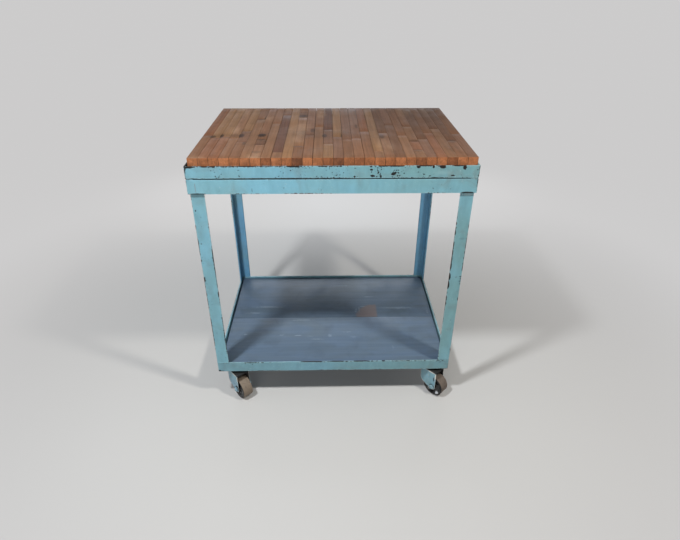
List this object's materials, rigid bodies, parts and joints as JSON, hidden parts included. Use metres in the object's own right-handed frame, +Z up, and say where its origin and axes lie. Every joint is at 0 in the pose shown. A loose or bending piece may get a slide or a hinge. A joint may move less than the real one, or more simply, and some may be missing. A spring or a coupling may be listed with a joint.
{
  "type": "kitchen island cart",
  "caption": "Rolling kitchen island cart: a butcher block in a welded angle-iron frame on angle legs, with a boarded lower shelf and swivel casters.",
  "frame": {"origin": "on the floor under the middle of the cart", "axes": "+Z up; -Y is the front, one of the two long sides; +X is the cart's right-hand end seen from the front"},
  "size_m": [0.799, 0.627, 0.8636],
  "materials": {
    "maple_block": "worn laminated hardwood with dark stains, lightly oiled",
    "turquoise_paint": "old brushed turquoise enamel, chipped along the edges",
    "shelf_paint": "thin blue-grey wash over boards, scuffed",
    "bare_steel": "dull worn zinc",
    "black_core": "glossy black moulding",
    "tan_tread": "dusty tan rubber"
  },
  "bodies": {
    "frame": {"butcher_block": "maple_block", "tray_rail_front": "turquoise_paint", "tray_rail_right": "turquoise_paint", "tray_rail_back": "turquoise_paint", "tray_rail_left": "turquoise_paint", "top_rail_front": "turquoise_paint", "top_rail_right": "turquoise_paint", "top_rail_back": "turquoise_paint", "top_rail_left": "turquoise_paint", "leg_front_left": "turquoise_paint", "leg_front_right": "turquoise_paint", "leg_back_right": "turquoise_paint", "leg_back_left": "turquoise_paint", "shelf_rail_front": "turquoise_paint", "shelf_rail_right": "turquoise_paint", "shelf_rail_back": "turquoise_paint", "shelf_rail_left": "turquoise_paint", "shelf_board_front": "shelf_paint", "shelf_board_back": "shelf_paint", "caster_plate_front_left": "turquoise_paint", "kingpin_front_left": "bare_steel", "caster_plate_front_right": "turquoise_paint", "kingpin_front_right": "bare_steel", "caster_plate_back_right": "turquoise_paint", "kingpin_back_right": "bare_steel", "caster_plate_back_left": "turquoise_paint", "kingpin_back_left": "bare_steel"},
    "swivel_front_left": {"swivel_race_front_left": "bare_steel", "fork_front_left": "turquoise_paint", "axle_bolt_front_left": "bare_steel", "axle_nut_front_left": "bare_steel", "axle_sleeve_front_left": "bare_steel"},
    "wheel_front_left": {"wheel_core_front_left": "black_core", "tyre_front_left": "tan_tread"},
    "swivel_front_right": {"swivel_race_front_right": "bare_steel", "fork_front_right": "turquoise_paint", "axle_bolt_front_right": "bare_steel", "axle_nut_front_right": "bare_steel", "axle_sleeve_front_right": "bare_steel"},
    "wheel_front_right": {"wheel_core_front_right": "black_core", "tyre_front_right": "tan_tread"},
    "swivel_back_right": {"swivel_race_back_right": "bare_steel", "fork_back_right": "turquoise_paint", "axle_bolt_back_right": "bare_steel", "axle_nut_back_right": "bare_steel", "axle_sleeve_back_right": "bare_steel"},
    "wheel_back_right": {"wheel_core_back_right": "black_core", "tyre_back_right": "tan_tread"},
    "swivel_back_left": {"swivel_race_back_left": "bare_steel", "fork_back_left": "turquoise_paint", "axle_bolt_back_left": "bare_steel", "axle_nut_back_left": "bare_steel", "axle_sleeve_back_left": "bare_steel"},
    "wheel_back_left": {"wheel_core_back_left": "black_core", "tyre_back_left": "tan_tread"}
  },
  "joints": [
    {"name": "swivel_front_left", "type": "hinge", "parent": "frame", "child": "swivel_front_left", "pos_m": [-0.3399, -0.2504, 0.1], "axis": [0, 0, 1], "continuous": true},
    {"name": "wheel_spin_front_left", "type": "hinge", "parent": "swivel_front_left", "child": "wheel_front_left", "pos_m": [-0.32062, -0.27338, 0.038], "axis": [0.766, 0.6428, 0], "continuous": true},
    {"name": "swivel_front_right", "type": "hinge", "parent": "frame", "child": "swivel_front_right", "pos_m": [0.3399, -0.2504, 0.1], "axis": [0, 0, 1], "continuous": true},
    {"name": "wheel_spin_front_right", "type": "hinge", "parent": "swivel_front_right", "child": "wheel_front_right", "pos_m": [0.36074, -0.27198, 0.038], "axis": [0.7193, 0.6947, 0], "continuous": true},
    {"name": "swivel_back_right", "type": "hinge", "parent": "frame", "child": "swivel_back_right", "pos_m": [0.3399, 0.2504, 0.1], "axis": [0, 0, 1], "continuous": true},
    {"name": "wheel_spin_back_right", "type": "hinge", "parent": "swivel_back_right", "child": "wheel_back_right", "pos_m": [0.32062, 0.27338, 0.038], "axis": [-0.766, -0.6428, 0], "continuous": true},
    {"name": "swivel_back_left", "type": "hinge", "parent": "frame", "child": "swivel_back_left", "pos_m": [-0.3399, 0.2504, 0.1], "axis": [0, 0, 1], "continuous": true},
    {"name": "wheel_spin_back_left", "type": "hinge", "parent": "swivel_back_left", "child": "wheel_back_left", "pos_m": [-0.36074, 0.27198, 0.038], "axis": [-0.7193, -0.6947, 0], "continuous": true}
  ]
}
